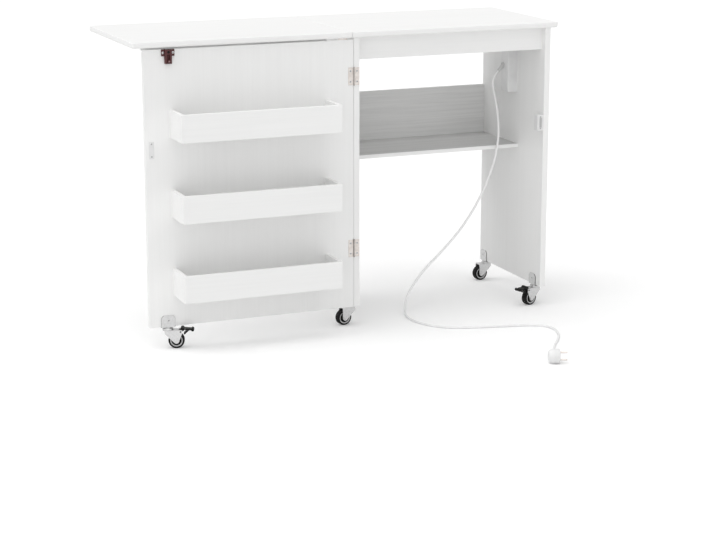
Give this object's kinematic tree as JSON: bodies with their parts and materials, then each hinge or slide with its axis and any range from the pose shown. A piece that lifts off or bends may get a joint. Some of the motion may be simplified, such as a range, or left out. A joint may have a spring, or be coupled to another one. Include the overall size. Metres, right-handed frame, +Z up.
{
  "type": "folding sewing table",
  "caption": "Folding sewing and cutting table on castors: a shelf carcass with a drop leaf carried by a hinged gate with open bins, and a power unit with its lead.",
  "frame": {"origin": "on the floor under the middle of the unfolded table's box, measured without the lead and plug", "axes": "+X along the table from the leaf to the fixed top, +Y to the back, +Z up"},
  "size_m": [1.188, 0.9152, 0.793],
  "materials": {
    "white_board": "white melamine-faced board with a faint wood grain",
    "nickel_steel": "nickel-plated steel",
    "zinc_steel": "zinc-plated pressed steel",
    "brown_plastic": "moulded brown plastic",
    "white_plastic": "moulded white plastic",
    "black_plastic": "moulded black plastic",
    "dark_magnet": "ferrite magnet with bare pole plates",
    "white_lead": "white flexible sheath",
    "black_tyre": "black rubber",
    "grey_hub": "moulded grey plastic"
  },
  "bodies": {
    "carcass": {"main_top": "white_board", "left_side_panel": "white_board", "right_side_panel": "white_board", "front_apron": "white_board", "shelf": "white_board", "shelf_back_panel": "white_board", "gate_hinge_panel_leaves": "nickel_steel", "gate_hinge_pins": "nickel_steel", "leaf_hinge_panel_plates": "nickel_steel", "leaf_hinge_pins": "nickel_steel", "catch_case": "white_plastic", "catch_magnet": "dark_magnet", "power_housing": "white_plastic", "power_face_plate": "white_plastic", "socket_inserts": "white_plastic", "usb_ports": "black_plastic", "cord_gland": "white_plastic", "power_lead": "white_lead", "plug_body": "white_plastic", "plug_pins": "nickel_steel", "carcass_castor_brackets": "zinc_steel", "carcass_screws": "nickel_steel"},
    "leaf": {"drop_leaf": "white_board", "leaf_stop_strip": "white_board", "leaf_hinge_leaf_plates": "nickel_steel", "leaf_screws": "nickel_steel"},
    "gate": {"gate_door": "white_board", "lower_bin_front": "white_board", "lower_bin_ends": "white_board", "lower_bin_floor": "white_board", "middle_bin_front": "white_board", "middle_bin_ends": "white_board", "middle_bin_floor": "white_board", "upper_bin_front": "white_board", "upper_bin_ends": "white_board", "upper_bin_floor": "white_board", "gate_knob": "black_plastic", "gate_hinge_gate_leaves": "nickel_steel", "bolt_case": "brown_plastic", "strike_plate": "nickel_steel", "gate_castor_bracket": "zinc_steel", "gate_screws": "nickel_steel"},
    "bolt": {"slide_bolt": "brown_plastic"},
    "left_front_castor": {"left_front_castor_fork": "zinc_steel"},
    "left_front_wheel": {"left_front_castor_tyre": "black_tyre", "left_front_castor_hub": "grey_hub"},
    "left_back_castor": {"left_back_castor_fork": "zinc_steel"},
    "left_back_wheel": {"left_back_castor_tyre": "black_tyre", "left_back_castor_hub": "grey_hub"},
    "right_front_castor": {"right_front_castor_fork": "zinc_steel"},
    "right_front_wheel": {"right_front_castor_tyre": "black_tyre", "right_front_castor_hub": "grey_hub"},
    "right_front_brake": {"right_front_brake_pedal": "black_plastic"},
    "right_back_castor": {"right_back_castor_fork": "zinc_steel"},
    "right_back_wheel": {"right_back_castor_tyre": "black_tyre", "right_back_castor_hub": "grey_hub"},
    "gate_castor": {"gate_castor_fork": "zinc_steel"},
    "gate_wheel": {"gate_castor_tyre": "black_tyre", "gate_castor_hub": "grey_hub"},
    "gate_brake": {"gate_brake_pedal": "black_plastic"}
  },
  "joints": [
    {"name": "gate_swing", "type": "hinge", "parent": "carcass", "child": "gate", "pos_m": [0.0036, -0.1483, 0.219], "axis": [0, 0, 1], "range_deg": [0, 180]},
    {"name": "leaf_drop", "type": "hinge", "parent": "carcass", "child": "leaf", "pos_m": [0, 0, 0.773], "axis": [0, -1, 0], "range_deg": [0, 90]},
    {"name": "bolt_slide", "type": "slide", "parent": "gate", "child": "bolt", "axis": [0, 0, -1], "range_m": [-0.013, 0]},
    {"name": "left_front_swivel", "type": "hinge", "parent": "carcass", "child": "left_front_castor", "pos_m": [0.012, -0.102, 0.049], "axis": [0, 0, 1], "continuous": true},
    {"name": "left_front_wheel_spin", "type": "hinge", "parent": "left_front_castor", "child": "left_front_wheel", "pos_m": [-0.00984, -0.10468, 0.021], "axis": [0.1219, -0.9925, 0], "continuous": true},
    {"name": "left_back_swivel", "type": "hinge", "parent": "carcass", "child": "left_back_castor", "pos_m": [0.012, 0.205, 0.049], "axis": [0, 0, 1], "continuous": true},
    {"name": "left_back_wheel_spin", "type": "hinge", "parent": "left_back_castor", "child": "left_back_wheel", "pos_m": [-0.00485, 0.21914, 0.021], "axis": [-0.6428, -0.766, 0], "continuous": true},
    {"name": "right_front_swivel", "type": "hinge", "parent": "carcass", "child": "right_front_castor", "pos_m": [0.57, -0.102, 0.049], "axis": [0, 0, 1], "continuous": true},
    {"name": "right_front_wheel_spin", "type": "hinge", "parent": "right_front_castor", "child": "right_front_wheel", "pos_m": [0.54885, -0.10806, 0.021], "axis": [0.2756, -0.9613, 0], "continuous": true},
    {"name": "right_front_brake_tip", "type": "hinge", "parent": "right_front_castor", "child": "right_front_brake", "pos_m": [0.53828, -0.1111, 0.0445], "axis": [0.2756, -0.9613, 0], "range_deg": [0, 15]},
    {"name": "right_back_swivel", "type": "hinge", "parent": "carcass", "child": "right_back_castor", "pos_m": [0.57, 0.205, 0.049], "axis": [0, 0, 1], "continuous": true},
    {"name": "right_back_wheel_spin", "type": "hinge", "parent": "right_back_castor", "child": "right_back_wheel", "pos_m": [0.54808, 0.20308, 0.021], "axis": [0.0872, -0.9962, 0], "continuous": true},
    {"name": "gate_swivel", "type": "hinge", "parent": "gate", "child": "gate_castor", "pos_m": [-0.5125, -0.14, 0.049], "axis": [0, 0, 1], "continuous": true},
    {"name": "gate_wheel_spin", "type": "hinge", "parent": "gate_castor", "child": "gate_wheel", "pos_m": [-0.49183, -0.14752, 0.021], "axis": [0.342, 0.9397, 0], "continuous": true},
    {"name": "gate_brake_tip", "type": "hinge", "parent": "gate_castor", "child": "gate_brake", "pos_m": [-0.48149, -0.15129, 0.0445], "axis": [0.342, 0.9397, 0], "range_deg": [0, 15]}
  ],
  "couplings": [
    {"joint": "leaf_drop", "follows": "gate_swing", "ratio": 0.5}
  ]
}
